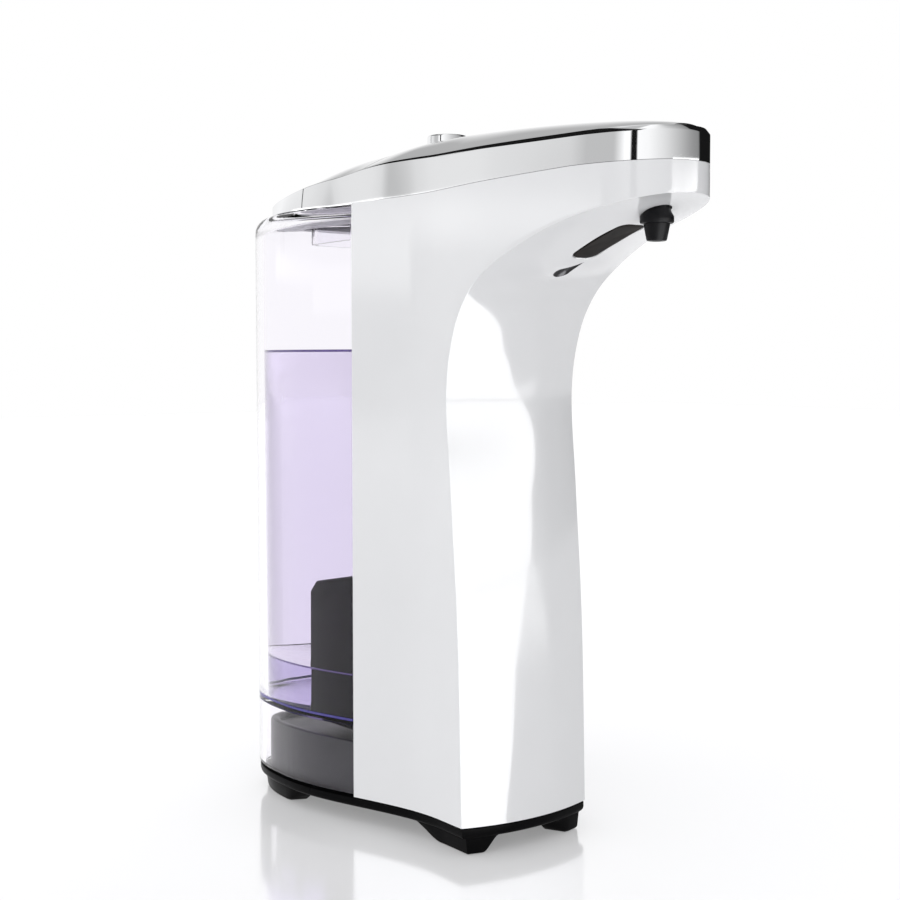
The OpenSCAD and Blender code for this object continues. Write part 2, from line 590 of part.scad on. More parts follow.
// Round bar swept along the points
module sweep(points, r, n = 8) {
    last = len(points) - 1;
    rings = [for (i = [0 : last])
        let (d = points[min(last, i + 1)] - points[max(0, i - 1)], t = d / norm(d),
             s = cross(t, [1, 0, 0]), a = s / norm(s), b = cross(t, a))
        [for (k = [0 : n - 1]) points[i] + r * (cos(360 * k / n) * a + sin(360 * k / n) * b)]];
    polyhedron([for (ring = rings) for (p = ring) p],
        concat([[for (k = [n - 1 : -1 : 0]) k]], [[for (k = [0 : n - 1]) last * n + k]],
            [for (i = [0 : last - 1]) for (k = [0 : n - 1])
                [i * n + k, i * n + (k + 1) % n, (i + 1) * n + (k + 1) % n, (i + 1) * n + k]]),
        convexity = 6);
}
module delivery_tube() color([0.9, 0.9, 0.92]) sweep(tube_points(), tube_r);

module nozzle_collar() color(black) at(0, nozzle_y, 0) rotate_extrude()
    polygon([[1.6, 172], [4.3, 172], [4.3, 173.8], [3.6, 175], [3.2, 176], [3.2, 181],
        [1.6, 181]]);
module nozzle_tip() color(black) at(0, nozzle_y, 0) rotate_extrude()
    polygon([[1.1, nozzle_tip_z], [2.5, nozzle_tip_z], [3.3, 172], [1.1, 172]]);
module check_valve() color(rubber_grey) at(0, nozzle_y, 0) difference() {
    rod_z(1.6, 174, 178);
    block(-0.15, 0.15, -1.2, 1.2, 173, 177);
}

module sensor_window() color([0.12, 0.1, 0.09]) intersection() {
    sensor_recess(0, 5);
    difference() {
        scoop_core(0.2);
        scoop_core(1.6);
    }
}
module sensor_board() color(board_green)
    sensor_place() block(-8, 8, -11, 12, 6.2, 7.4);
module ir_emitter() color([0.55, 0.5, 0.65]) sensor_place() rod_z(2.4, 2.8, 6.2, 0, 5);
module ir_receiver() color([0.1, 0.1, 0.12]) sensor_place() rod_z(2.4, 2.8, 6.2, 0, -5);
module indicator_lens() color(chrome) indicator_place() rod_z(2.6, -1.6, 1.4);
module indicator_led() color("crimson") indicator_place() rod_z(1.5, 1.5, 5);
module motor_leads() color("firebrick")
    for (s = [0, 1]) let (x = 2.4 * s)
        sweep([[x, 46.9, 60], [x + 4, 48.4, 63], [x + 9, 44, 65.6], [x + 10, 34, 66.2],
            [x + 10, 24.4, 66.2], [x + 10, 18.6, 66.4], [x + 10, 16.4, 71], [x + 7, 14, 90],
            [x + 7, 14, 150], [x + 7, 14, board_z - 0.2]], 0.7);
module chassis_screws() color(steel)
    for (x = [-26, 26]) screw(x, chassis_screw_y, lip_z - 1.2, 9, 1.2);

body_shell();
bulkhead();
base_chassis();
foot_pads();
battery_box();
batteries();
battery_contacts();
battery_gasket();
battery_cover();
battery_cover_screw();
tank_seat();
tank();
fill_collar();
top_trim();
top_cover();
refill_lid();
lid_liner();
lid_gasket();
lid_hinge_pin();
control_button();
button_spring();
button_switch();
control_board();
board_screws();
pump_tower();
pump_body();
pump_cover_plate();
pump_cover_screws();
pump_drive_gear();
pump_idler_gear();
idler_pin();
drive_shaft();
shaft_seal();
reduction_gear();
motor_can();
motor_shaft();
motor_pinion();
gear_plate();
inlet_strainer();
inlet_o_ring();
outlet_elbow();
delivery_tube();
nozzle_collar();
nozzle_tip();
check_valve();
sensor_window();
sensor_board();
ir_emitter();
ir_receiver();
indicator_lens();
indicator_led();
motor_leads();
bulkhead_screws();
chassis_screws();
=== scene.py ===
"""Looks of a counter-top touch-free soap dispenser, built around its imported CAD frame.

Helper functions work in millimetres in the frame's own axes (+Z up, front towards -Y) and
scale to metres when a mesh is made.
"""
import json
import math

import bmesh
import bpy
import numpy as np
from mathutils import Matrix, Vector


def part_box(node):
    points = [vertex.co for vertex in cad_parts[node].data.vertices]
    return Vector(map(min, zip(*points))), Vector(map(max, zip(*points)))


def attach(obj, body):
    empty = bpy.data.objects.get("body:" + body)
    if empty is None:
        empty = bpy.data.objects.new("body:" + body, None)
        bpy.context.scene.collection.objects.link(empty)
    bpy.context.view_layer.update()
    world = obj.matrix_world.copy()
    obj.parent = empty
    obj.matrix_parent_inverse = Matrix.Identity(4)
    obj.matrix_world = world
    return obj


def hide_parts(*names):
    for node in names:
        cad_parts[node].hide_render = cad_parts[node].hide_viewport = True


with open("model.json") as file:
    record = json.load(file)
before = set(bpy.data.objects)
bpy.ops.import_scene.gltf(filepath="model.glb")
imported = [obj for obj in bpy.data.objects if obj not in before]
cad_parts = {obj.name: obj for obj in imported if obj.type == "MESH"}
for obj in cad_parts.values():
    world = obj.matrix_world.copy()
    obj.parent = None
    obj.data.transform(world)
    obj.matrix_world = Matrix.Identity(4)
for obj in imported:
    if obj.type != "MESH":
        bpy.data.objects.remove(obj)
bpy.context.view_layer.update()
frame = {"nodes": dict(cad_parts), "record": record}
NODES = frame["nodes"]
MM = 0.001


def box_mm(node):
    """Lowest and highest corner of a CAD node, in millimetres."""
    low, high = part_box(node)
    return np.array(low) / MM, np.array(high) / MM


# ---- driving dimensions, from the frame ------------------------------------
BODY_LOW, BODY_HIGH = box_mm("body_shell")
TANK_LOW, TANK_HIGH = box_mm("tank")
TRIM_HIGH = box_mm("top_trim")[1]
BUTTON_LOW, BUTTON_HIGH = box_mm("control_button")
TIP_LOW, TIP_HIGH = box_mm("nozzle_tip")
COLLAR_HIGH = box_mm("nozzle_collar")[1]
SEAT_LOW, SEAT_HIGH = box_mm("tank_seat")
TOWER_LOW, TOWER_HIGH = box_mm("pump_tower")

NOSE_Y = BODY_LOW[1]
REAR_Y = TANK_HIGH[1]
HALF_W = TANK_HIGH[0]
BODY_Z = BODY_LOW[2]
SEAM_Y = BODY_HIGH[1]
TRIM_REAR_Y = TRIM_HIGH[1]
BUTTON_Y = (BUTTON_LOW[1] + BUTTON_HIGH[1]) / 2
NOZZLE_Y = (TIP_LOW[1] + TIP_HIGH[1]) / 2

# the same outline rules as the CAD part
NOSE_C = -60.0
REAR_C = 50.5
FLARE_Y = -11.5
COLUMN_W = 23.0
TRIM_INSET = 5.0
TRIM_TOP_Z = 194.8
TRIM_LOW_Z = 183.4
TRIM_NOSE_LOW_Z = 186.3
SCOOP_AXIS_Y = 42.0
SCOOP = [(67.4, 8.2), (65.8, 60), (62.9, 100), (60.9, 128), (64.1, 146),
         (71.2, 157.5), (82.2, 165.2), (97.4, 171.6), (113, 175.6), (128.4, 178.6)]
WALL = 2.2
CROWN_GAP = 2.1
TANK_WALL = 2.4
TANK_FLOOR_Z = 30.4
SHOULDER_Z = 178.0
SOAP_Z = 140.7
LAYER_Z = 44.5
TOWER_GROWTH = 2.4
TANK_FRONT_WALL = 2.2
TANK_ROOF = 2.6
SOAP_GAP = 0.06
WINDOW_Y0 = -65.4
WINDOW_Y1 = -44.4


# ---- outline rules ----------------------------------------------------------
def smooth(t):
    s = min(1.0, max(0.0, t))
    return s * s * (3 - 2 * s)


def superarc(u, n):
    return max(0.0, 1 - abs(u) ** n) ** (1 / n)


def softmin(a, b, k):
    return (a + b - math.sqrt((a - b) ** 2 + k * k)) / 2


def half_w(y, d=0.0):
    """Half-width at y of the outline moved in by d."""
    if y > REAR_C:
        return (HALF_W - d) * superarc((y - REAR_C) / (REAR_Y - d - REAR_C), 3)
    taper = 13.9 + 0.16 * (y - NOSE_Y)
    if y < -35:
        end = superarc(min(1, max(0, (NOSE_C - y) / (NOSE_C - NOSE_Y - d))), 2.5)
        return max(0.0, softmin(taper, COLUMN_W, 1.4) * end - d * (1 if end > 0.5 else 2 * end))
    flare = (HALF_W - COLUMN_W) * smooth((y - FLARE_Y) / (REAR_C - FLARE_Y))
    return softmin(taper, COLUMN_W, 1.4) + flare - d


def trim_half(y, d=0.0):
    """Half-width of the chrome top, which stands in from the tank at the back."""
    start = REAR_C - 4
    if y > start:
        end = superarc((y - start) / (TRIM_REAR_Y - d - start), 3.4)
        return (half_w(start) - TRIM_INSET - d) * end
    if y < -35:
        return half_w(y, d)
    return half_w(y) - TRIM_INSET * smooth((y - 8) / 26) - d


def trim_low(y):
    rise = max(0.0, min(1.0, (22 - y) / 82))
    return TRIM_LOW_Z + (TRIM_NOSE_LOW_Z - TRIM_LOW_Z) * rise


def trim_high(y):
    return TRIM_TOP_Z - 8.8 * smooth((y + 4) / 96) - 0.9 * smooth((y - 50) / 32)


def crown(y):
    if y < 22:
        return 8.7 * superarc((y - 22) / (22 - NOSE_Y), 1.55)
    return (8.7 + 1.8 * smooth((y - 22) / 25)) * superarc((y - 22) / (TRIM_REAR_Y - 22), 2.1)


def crown_z(x, y):
    across = min(1.0, abs(x) / max(0.5, trim_half(y) - CROWN_GAP))
    return trim_high(y) - 0.3 + crown(y) * (1 - across ** 2)


def spline(points, steps):
    """Catmull-Rom curve through the points."""
    p = [np.array(q, float) for q in points]
    p = [2 * p[0] - p[1]] + p + [2 * p[-1] - p[-2]]
    out = []
    for i in range(1, len(p) - 2):
        for s in range(steps):
            t = s / steps
            out.append(0.5 * (2 * p[i] + (p[i + 1] - p[i - 1]) * t
                              + (2 * p[i - 1] - 5 * p[i] + 4 * p[i + 1] - p[i + 2]) * t * t
                              + (3 * p[i] - p[i - 1] - 3 * p[i + 1] + p[i + 2]) * t ** 3))
    out.append(p[-2])
    return np.array(out)


def resample(points, n):
    """n points spaced evenly along a polyline."""
    points = np.array(points, float)
    run = np.concatenate([[0], np.cumsum(np.linalg.norm(np.diff(points, axis=0), axis=1))])
    return np.column_stack([np.interp(np.linspace(0, run[-1], n), run, points[:, k])
                            for k in range(points.shape[1])])


def side_line(width, y0, y1, n):
    """One side of a plan outline from y0 to y1 as n points (half-width, y)."""
    ys = y0 + (y1 - y0) * (1 - np.cos(np.linspace(0, math.pi, 900))) / 2
    return resample([(max(0.0, width(y)), y) for y in ys], n)


def ring(width, y0, y1, n):
    """Closed plan outline, from the front middle round the -X side and back on the +X side."""
    side = side_line(width, y0, y1, n)
    left = [(-x, y) for x, y in side]
    right = [(x, y) for x, y in side[::-1]]
    if side[0][0] < 1e-3:
        right = right[:-1]
    if side[-1][0] < 1e-3:
        right = right[1:]
    return left + right


# ---- mesh helpers -------------------------------------------------------------
def new_piece(name, verts, faces, material, body="root", smooth_angle=40):
    """A mesh piece from vertices in millimetres, riding on a body."""
    mesh = bpy.data.meshes.new(name)
    mesh.from_pydata([tuple(np.array(v, float) * MM) for v in verts], [], faces)
    work = bmesh.new()
    work.from_mesh(mesh)
    bmesh.ops.remove_doubles(work, verts=work.verts, dist=2e-6)
    bmesh.ops.recalc_face_normals(work, faces=work.faces)
    for edge in work.edges:
        flat = len(edge.link_faces) != 2
        edge.smooth = flat or edge.calc_face_angle(0) < math.radians(smooth_angle)
    for face in work.faces:
        face.smooth = True
    work.to_mesh(mesh)
    work.free()
    piece = bpy.data.objects.new(name, mesh)
    bpy.context.scene.collection.objects.link(piece)
    piece.data.materials.append(material)
    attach(piece, body)
    return piece


def loft(rings, closed=True, wrap=False, cap_first=False, cap_last=False):
    """Vertices and faces of a skin through rings that have the same number of points."""
    count = len(rings[0])
    verts = [p for one in rings for p in one]
    faces = []
    last = len(rings) if wrap else len(rings) - 1
    for i in range(last):
        a, b = i * count, (i + 1) % len(rings) * count
        for k in range(count if closed else count - 1):
            m = (k + 1) % count
            faces.append((a + k, a + m, b + m, b + k))
    if cap_first:
        faces.append(tuple(range(count)))
    if cap_last:
        faces.append(tuple(len(verts) - count + k for k in range(count)))
    return verts, faces


def lathe(name, profile, centre, material, body="root", count=72, smooth_angle=40):
    """A turned piece: profile points (radius, z) about an upright axis."""
    rings = [[(centre[0] + r * math.cos(a), centre[1] + r * math.sin(a), z)
              for a in np.linspace(0, 2 * math.pi, count, endpoint=False)] for r, z in profile]
    verts, faces = loft(rings, cap_first=profile[0][0] > 0, cap_last=profile[-1][0] > 0)
    return new_piece(name, verts, faces, material, body, smooth_angle)


def fillet(x0, y0, x1, y1, n=6):
    """Quarter-round points from (x0, y0) to (x1, y1), leaving upright and arriving level."""
    return [(x0 + (x1 - x0) * (1 - math.cos(a)), y0 + (y1 - y0) * math.sin(a))
            for a in np.linspace(0, math.pi / 2, n)]


def modify(piece, kind, **settings):
    """Adds a modifier and applies it to the mesh."""
    modifier = piece.modifiers.new(kind.lower(), kind)
    for key, value in settings.items():
        setattr(modifier, key, value)
    graph = bpy.context.evaluated_depsgraph_get()
    result = bpy.data.meshes.new_from_object(piece.evaluated_get(graph))
    old = piece.data
    piece.modifiers.clear()
    piece.data = result
    bpy.data.meshes.remove(old)


# ---- camera, floor and light ----------------------------------------------------
def set_camera():
    data = bpy.data.cameras.new("camera")
    data.sensor_width = 36
    data.lens = 58
    camera = bpy.data.objects.new("camera", data)
    camera.location = (-0.25756, -0.33854, 0.13793)
    camera.rotation_euler = (math.radians(90 - 3.5518), 0, math.radians(-36.07))
    bpy.context.scene.collection.objects.link(camera)
    bpy.context.scene.camera = camera


class Graph:
    """Short hand for building a node tree."""

    def __init__(self, tree):
        self.tree = tree
        tree.nodes.clear()

    def add(self, kind, inputs=None, **settings):
        node = self.tree.nodes.new(kind)
        for key, value in settings.items():
            setattr(node, key, value)
        for key, value in (inputs or {}).items():
            if isinstance(value, bpy.types.NodeSocket):
                self.tree.links.new(value, node.inputs[key])
            else:
                node.inputs[key].default_value = value
        return node

    def math(self, operation, *values):
        return self.add("ShaderNodeMath", dict(enumerate(values)), operation=operation).outputs[0]

    def mix(self, share, first, second):
        """Colour between two colours, by share."""
        return self.add("ShaderNodeMix", {0: share, 6: first, 7: second}, data_type="RGBA").outputs[2]

    def ramp(self, factor, stops, interpolation="LINEAR"):
        node = self.add("ShaderNodeValToRGB", {0: factor})
        node.color_ramp.interpolation = interpolation
        while len(node.color_ramp.elements) < len(stops):
            node.color_ramp.elements.new(0.5)
        for element, (place, colour) in zip(node.color_ramp.elements, stops):
            element.position = place
            element.color = (*colour, 1)
        return node.outputs[0]


def band(g, value, low, high, soft):
    """1 where the value lies between low and high, with soft edges."""
    up = g.add("ShaderNodeMapRange", {0: value, 1: low - soft, 2: low + soft, 3: 0.0, 4: 1.0}).outputs[0]
    down = g.add("ShaderNodeMapRange", {0: value, 1: high - soft, 2: high + soft, 3: 1.0, 4: 0.0}).outputs[0]
    return g.math("MULTIPLY", up, down)


# brightness by azimuth in degrees, from +X towards +Y, as gloss and as soft light see it
WALL_LEVELS = [
    (-180, 0.95), (-176, 1.25), (-150, 1.15), (-135, 1.0), (-100, 0.72), (-55, 0.42), (-32, 0.25),
    (36, 0.85), (62, 0.92), (104, 1.1), (118, 0.95), (136, 0.92), (146, 0.85), (151, 0.72),
    (156, 0.62), (175, 0.62), (180, 0.95),
]
SOFT_LEVELS = [(-180, 1.0), (-90, 0.84), (-30, 0.62), (45, 0.78), (130, 1.08), (180, 1.04)]
# panels and gaps that gloss shows: azimuth from and to, lean, height from and to, edge, brightness
PANELS = [
    (40, 84, 0.0, 22, 60, 6.0, 0.5),
    (84, 198, 0.0, 33, 60, 2.0, 0.01),
    (-180, -162, 0.0, 26, 60, 1.0, 0.01),
    (-114, -48, 1.4, -2, 7.4, 0.8, 6.0),
    (-170.5, -164, 0.0, 2, 60, 0.8, 0.01),
    (-36, 33, 0.0, -12, 60, 2.0, 0.01),
    (121.8, 124.6, 0.0, 5.2, 30, 0.4, 0.01),
    (150, 166, 0.0, 2.7, 6.3, 0.4, 2.4),
    (118, 150, 0.0, 4.7, 6.4, 0.5, 2.4),
]


def build_world():
    """Soft studio surround: white behind the object, with panels and dark gaps that only gloss shows."""
    world = bpy.data.worlds.new("studio")
    bpy.context.scene.world = world
    world.use_nodes = True
    g = Graph(world.node_tree)
    where = g.add("ShaderNodeTexCoord").outputs["Generated"]
    split = g.add("ShaderNodeSeparateXYZ", {0: where})
    around = g.math("ARCTAN2", split.outputs["Y"], split.outputs["X"])
    azimuth = g.math("MULTIPLY", around, 180 / math.pi)
    height = g.math("MULTIPLY", g.math("ARCSINE", split.outputs["Z"]), 180 / math.pi)
    turn = g.add("ShaderNodeMapRange", {0: azimuth, 1: -180.0, 2: 180.0, 3: 0.0, 4: 1.0}).outputs[0]
    shaped = g.ramp(turn, [((a + 180) / 360, (v,) * 3) for a, v in WALL_LEVELS])
    for az0, az1, lean, el0, el1, soft, level in PANELS:
        leaning = g.math("MULTIPLY_ADD", height, -lean, azimuth)
        wide = band(g, leaning, az0, az1, soft)
        tall = band(g, height, el0, el1, soft)
        shaped = g.mix(g.math("MULTIPLY", wide, tall), shaped, (level, level, level, 1))
    soft_light = g.ramp(turn, [((a + 180) / 360, (v, v, v * 1.01)) for a, v in SOFT_LEVELS])
    ray = g.add("ShaderNodeLightPath")
    shiny = g.mix(ray.outputs["Is Glossy Ray"], soft_light, shaped)
    through = g.math("MAXIMUM", ray.outputs["Is Camera Ray"], ray.outputs["Is Transmission Ray"])
    light = g.add("ShaderNodeBackground", {0: g.mix(through, shiny, (1, 1, 1, 1)), 1: 1.0})
    g.add("ShaderNodeOutputWorld", {0: light.outputs[0]})


def build_card():
    """Light card lying in front of the object, seen only in its gloss."""
    card_z = 0.6
    outline = [(-60, -36), (-1.6, -42), (3, -56), (17, -84), (150, -310), (580, -870), (821, -1155),
               (2010, -2560), (-900, -2600)]
    mesh = bpy.data.meshes.new("light_card")
    mesh.from_pydata([(x * MM, y * MM, card_z * MM) for x, y in outline], [],
                     [tuple(reversed(range(len(outline))))])
    card = bpy.data.objects.new("light_card", mesh)
    bpy.context.scene.collection.objects.link(card)
    material = bpy.data.materials.new("card_light")
    material.use_nodes = True
    g = Graph(material.node_tree)
    behind = g.add("ShaderNodeNewGeometry").outputs["Backfacing"]
    glow = g.add("ShaderNodeEmission", {0: (1, 1, 1, 1), 1: 6.0})
    clear = g.add("ShaderNodeBsdfTransparent")
    sided = g.add("ShaderNodeMixShader", {0: behind, 1: glow.outputs[0], 2: clear.outputs[0]})
    g.add("ShaderNodeOutputMaterial", {0: sided.outputs[0]})
    mesh.materials.append(material)
    card.visible_camera = False
    card.visible_diffuse = False
    card.visible_transmission = False
    card.visible_shadow = False


def build_floor():
    size = 3000
    verts = [(-size, -size, 0), (size, -size, 0), (size, size, 0), (-size, size, 0)]
    mesh = bpy.data.meshes.new("floor")
    mesh.from_pydata([tuple(c * MM for c in v) for v in verts], [], [(0, 1, 2, 3)])
    floor = bpy.data.objects.new("floor", mesh)
    bpy.context.scene.collection.objects.link(floor)
    material = bpy.data.materials.new("floor_white")
    material.use_nodes = True
    g = Graph(material.node_tree)
    matt = g.add("ShaderNodeBsdfDiffuse", {0: (0.86, 0.86, 0.87, 1)})
    sheen = g.add("ShaderNodeBsdfGlossy", {"Color": (0.97, 0.97, 0.98, 1), "Roughness": 0.12})
    both = g.add("ShaderNodeMixShader", {0: 0.42, 1: matt.outputs[0], 2: sheen.outputs[0]})
    lift = g.add("ShaderNodeEmission", {0: (1, 1, 1, 1), 1: 0.26})
    whole = g.add("ShaderNodeAddShader", {0: both.outputs[0], 1: lift.outputs[0]})
    g.add("ShaderNodeOutputMaterial", {0: whole.outputs[0]})
    mesh.materials.append(material)


# ---- materials ------------------------------------------------------------------
def finish(name, colour, rough, tint=0.03, grain=900.0, bump=0.02, rough_spread=0.04, **sockets):
    """Principled material with a fine mottle in colour and roughness and a fine skin bump."""
    material = bpy.data.materials.new(name)
    material.use_nodes = True
    g = Graph(material.node_tree)
    place = g.add("ShaderNodeTexCoord").outputs["Object"]
    fine = g.add("ShaderNodeTexNoise", {"Vector": place, "Scale": grain, "Detail": 3.0}).outputs[0]
    broad = g.add("ShaderNodeTexNoise", {"Vector": place, "Scale": grain / 18, "Detail": 2.0}).outputs[0]
    dark = tuple(max(0.0, c * (1 - tint)) for c in colour)
    light = tuple(min(1.0, c * (1 + tint)) for c in colour)
    paint = g.ramp(broad, [(0.3, dark), (0.7, light)])
    matt = g.add("ShaderNodeMapRange", {0: broad, 1: 0.3, 2: 0.7, 3: max(0.0, rough - rough_spread),
                                        4: rough + rough_spread}).outputs[0]
    relief = g.add("ShaderNodeBump", {"Height": fine, "Strength": bump, "Distance": 0.0002})
    inputs = {"Base Color": paint, "Roughness": matt, "Normal": relief.outputs[0]}
    inputs.update({key.replace("_", " "): value for key, value in sockets.items()})
    shader = g.add("ShaderNodeBsdfPrincipled", inputs)
    g.add("ShaderNodeOutputMaterial", {0: shader.outputs[0]})
    return material


def brushed(name, colour, rough, axis=2):
    """Metal with fine lines along one axis."""
    material = bpy.data.materials.new(name)
    material.use_nodes = True
    g = Graph(material.node_tree)
    place = g.add("ShaderNodeTexCoord").outputs["Object"]
    scale = [4000.0, 4000.0, 4000.0]
    scale[axis] = 60.0
    lines = g.add("ShaderNodeMapping", {"Vector": place, "Scale": tuple(scale)}).outputs[0]
    noise = g.add("ShaderNodeTexNoise", {"Vector": lines, "Scale": 1.0, "Detail": 2.0}).outputs[0]
    dark = tuple(c * 0.86 for c in colour)
    paint = g.ramp(noise, [(0.3, dark), (0.7, colour)])
    matt = g.add("ShaderNodeMapRange", {0: noise, 1: 0.2, 2: 0.8, 3: rough * 0.75, 4: rough * 1.3}).outputs[0]
    relief = g.add("ShaderNodeBump", {"Height": noise, "Strength": 0.05, "Distance": 0.0001})
    shader = g.add("ShaderNodeBsdfPrincipled", {"Base Color": paint, "Roughness": matt, "Metallic": 1.0,
                                                "Normal": relief.outputs[0]})
    g.add("ShaderNodeOutputMaterial", {0: shader.outputs[0]})
    return material


WHITE = finish("gloss_white", (0.80, 0.805, 0.815), 0.12, tint=0.008, grain=700, bump=0.012,
               rough_spread=0.02, Coat_Weight=0.5, Coat_Roughness=0.04, IOR=1.5)
CHROME = finish("chrome", (0.82, 0.825, 0.835), 0.045, tint=0.01, grain=500, bump=0.004, rough_spread=0.012,
                Metallic=1.0)
BLACK = finish("satin_black", (0.003, 0.003, 0.0033), 0.3, tint=0.25, grain=1600, bump=0.1,
               Specular_IOR_Level=0.03)
NOZZLE_BLACK = finish("nozzle_black", (0.005, 0.005, 0.006), 0.36, tint=0.2, grain=1400, bump=0.06,
                      Specular_IOR_Level=0.1)
SMOKE = finish("smoke_grey", (0.036, 0.034, 0.042), 0.38, tint=0.08, grain=1500, bump=0.1)
PLUM = finish("plum_black", (0.007, 0.0035, 0.010), 0.3, tint=0.25, grain=900, bump=0.05,
              Specular_IOR_Level=0.03)
CLEAR = finish("clear_plastic", (0.975, 0.965, 0.992), 0.02, tint=0.004, grain=300, bump=0.004,
               rough_spread=0.01, Transmission_Weight=1.0, IOR=1.25, Specular_IOR_Level=0.5)
SOAP = finish("lilac_soap", (0.75, 0.695, 0.845), 0.02, tint=0.01, grain=120, bump=0.0, rough_spread=0.01,
              Transmission_Weight=1.0, IOR=1.2, Specular_IOR_Level=0.1)
SOAP_DEEP = finish("deep_violet_soap", (0.20, 0.13, 0.44), 0.12, tint=0.12, grain=200, bump=0.0,
                   rough_spread=0.04, Transmission_Weight=0.35, IOR=1.4)
SOAP_LOW = finish("violet_soap", (0.50, 0.43, 0.70), 0.03, tint=0.06, grain=160, bump=0.0, rough_spread=0.02,
                  Transmission_Weight=1.0, IOR=1.2, Specular_IOR_Level=0.1)
SOAP_BLUE = finish("blue_violet_line", (0.06, 0.045, 0.38), 0.15, tint=0.1, grain=200, bump=0.0,
                   rough_spread=0.04)
WINDOW = finish("sensor_black", (0.016, 0.014, 0.013), 0.42, tint=0.5, grain=5200, bump=0.05,
                Specular_IOR_Level=0.02)
RUBBER = finish("rubber", (0.004, 0.004, 0.0044), 0.7, tint=0.2, grain=2000, bump=0.3,
                Specular_IOR_Level=0.05)
NATURAL = finish("natural_plastic", (0.72, 0.72, 0.69), 0.4, tint=0.03, grain=1500, bump=0.05)
DISH = finish("dark_chrome", (0.05, 0.05, 0.052), 0.3, tint=0.1, grain=900, bump=0.02, Metallic=1.0)
CEILING = finish("lilac_grey", (0.62, 0.60, 0.67), 0.3, tint=0.03, grain=900, bump=0.03)
BOARD = finish("circuit_board", (0.02, 0.12, 0.06), 0.35, tint=0.35, grain=1300, bump=0.15)
BATTERY = finish("cell_wrap", (0.45, 0.3, 0.1), 0.28, tint=0.12, grain=700, bump=0.04, Coat_Weight=0.5)
WIRE = finish("red_wire", (0.4, 0.02, 0.02), 0.4, tint=0.12, grain=1200, bump=0.1)
LED = finish("red_lens", (0.6, 0.03, 0.03), 0.12, tint=0.1, grain=900, bump=0.02, Transmission_Weight=0.4)
EMITTER = finish("emitter_lens", (0.35, 0.3, 0.5), 0.1, tint=0.1, grain=900, bump=0.02,
                 Transmission_Weight=0.5)
TUBE = finish("milky_tube", (0.85, 0.85, 0.87), 0.25, tint=0.03, grain=900, bump=0.04,
              Transmission_Weight=0.4)
STEEL = brushed("brushed_steel", (0.55, 0.56, 0.58), 0.25, axis=1)
BRASS = brushed("turned_brass", (0.72, 0.55, 0.26), 0.24, axis=1)
SLOT_FINISH = {
    "white_shell": WHITE, "chrome": CHROME, "black_plastic": BLACK, "smoke_plastic": SMOKE,
    "plum_plastic": PLUM, "clear_plastic": CLEAR, "window": WINDOW, "rubber": RUBBER,
    "natural_plastic": NATURAL, "board": BOARD, "battery": BATTERY, "wire": WIRE, "led": LED,
    "emitter": EMITTER, "tube": TUBE, "steel": STEEL, "brass": BRASS,
}


def finish_cad_nodes():
    """Gives each CAD node the procedural finish of its material slot."""
    slots = {row["node"]: row["material_slot"] for row in frame["record"]["subparts"]}
    for name, node in NODES.items():
        node.data.materials.clear()
        node.data.materials.append(SLOT_FINISH[slots[name]])


# ---- white body -------------------------------------------------------------------
def crease_line(count):
    """Edge between the side wall and the front scoop as (half-width, y, z, scoop radius)."""
    line = []
    for r, z in spline(SCOOP, 24):
        low, high = NOSE_Y, 10.0
        if r >= SCOOP_AXIS_Y - NOSE_Y:
            break
        for _ in range(40):
            y = (low + high) / 2
            if half_w(y) ** 2 + (SCOOP_AXIS_Y - y) ** 2 > r * r:
                low = y
            else:
                high = y
        line.append((half_w(y), y, z, r))
    tip = SCOOP_AXIS_Y - NOSE_Y
    line.append((0.0, NOSE_Y, SCOOP[-1][1] - 0.1, tip))
    return resample(line, count)


def bulge(r):
    """How far the hollow front's underside hangs down on the middle plane, by its radius."""
    return 2.3 * smooth((r - 66) / 18) * (1 - smooth((r - 104) / 20))


def body_mesh(rows=150, across=26, deep=16):
    """Outer skin of the white body: two side walls and the scoop between them."""
    side = side_line(half_w, NOSE_Y, SEAM_Y, 600)
    run = np.concatenate([[0], np.cumsum(np.linalg.norm(np.diff(side, axis=0), axis=1))])
    crease = crease_line(rows)
    crease_run = np.interp(crease[:, 1], side[:, 1], run)
    corner = int(np.argmax(crease[:, 2] > 146))
    top = [(s, trim_low(y)) for s, y in zip(run[::-1], side[::-1, 1])]
    edge = np.vstack([
        np.column_stack([np.full(corner, run[-1]), np.linspace(BODY_Z, trim_low(SEAM_Y), corner + 1)[:-1]]),
        resample(top, rows - corner)])
    grid = []
    for i in range(rows):
        w_c, _, z_c, r = crease[i]
        row = []
        for k in range(deep):
            t = k / deep
            s = edge[i][0] + (crease_run[i] - edge[i][0]) * t
            z = edge[i][1] + (z_c - edge[i][1]) * t
            y = np.interp(s, run, side[:, 1])
            row.append((-np.interp(s, run, side[:, 0]), y, z))
        for k in range(across + 1):
            x = -w_c * math.cos(math.pi * k / across)
            sag = bulge(r) * (1 - (x / max(w_c, 0.1)) ** 2)
            row.append((x, SCOOP_AXIS_Y - math.sqrt(max(0.0, r * r - x * x)), z_c - sag))
        row += [(-x, y, z) for x, y, z in row[:deep][::-1]]
        grid.append(row)
    return loft(grid, closed=False)


def cut(piece, name, verts, faces):
    """Cuts the solid given by verts and faces out of a piece."""
    mesh = bpy.data.meshes.new(name)
    mesh.from_pydata([tuple(np.array(v, float) * MM) for v in verts], [], faces)
    work = bmesh.new()
    work.from_mesh(mesh)
    bmesh.ops.recalc_face_normals(work, faces=work.faces)
    work.to_mesh(mesh)
    work.free()
    tool = bpy.data.objects.new(name, mesh)
    bpy.context.scene.collection.objects.link(tool)
    modify(piece, "BOOLEAN", operation="DIFFERENCE", solver="EXACT", object=tool)
    bpy.data.objects.remove(tool)
    bpy.data.meshes.remove(mesh)


